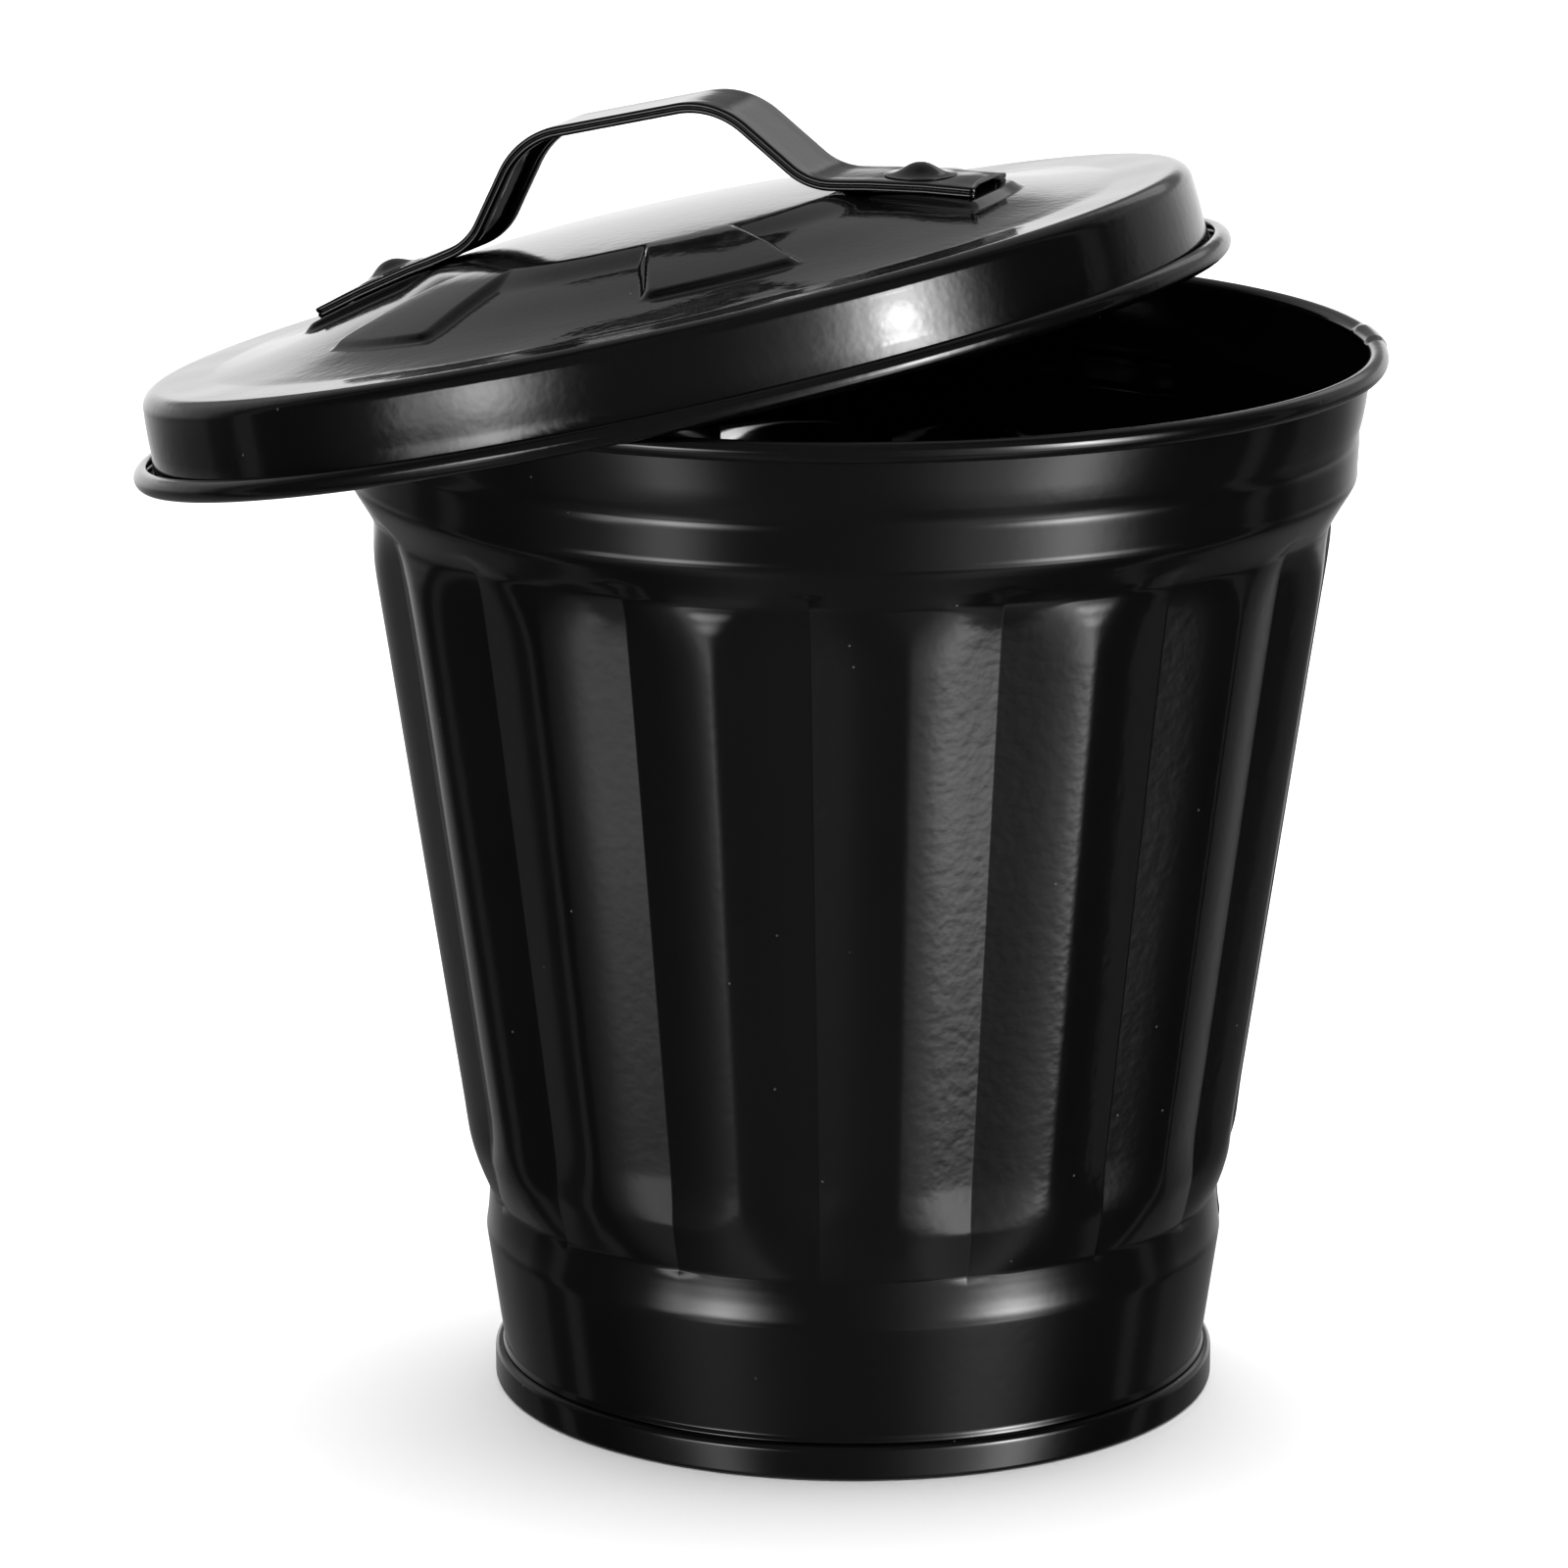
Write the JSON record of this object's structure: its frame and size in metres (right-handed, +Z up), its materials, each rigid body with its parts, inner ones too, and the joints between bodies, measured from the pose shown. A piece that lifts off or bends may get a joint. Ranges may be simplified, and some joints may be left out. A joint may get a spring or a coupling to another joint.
{
  "type": "desktop trash can",
  "caption": "Small conical sheet-metal trash can with a fluted wall, rolled rim and seamed bottom, and a loose domed lid with a riveted strap handle, lying askew on the rim.",
  "frame": {"origin": "on the bin's axis, in the plane that the bin stands on", "axes": "+Z up along the bin's axis, -Y towards the front, +X to the right seen from the front"},
  "size_m": [0.1934, 0.1765, 0.2019],
  "materials": {
    "bin_paint": "gloss",
    "lid_paint": "gloss"
  },
  "bodies": {
    "bin": {"body_shell": "bin_paint", "base_pan": "bin_paint"},
    "lid": {"lid_shell": "lid_paint", "handle_strap": "lid_paint", "handle_rivets": "lid_paint"}
  },
  "joints": [
    {"name": "lid_lift", "type": "slide", "parent": "bin", "child": "lid", "axis": [0, 0, 1], "range_m": [0, 0.18]}
  ]
}
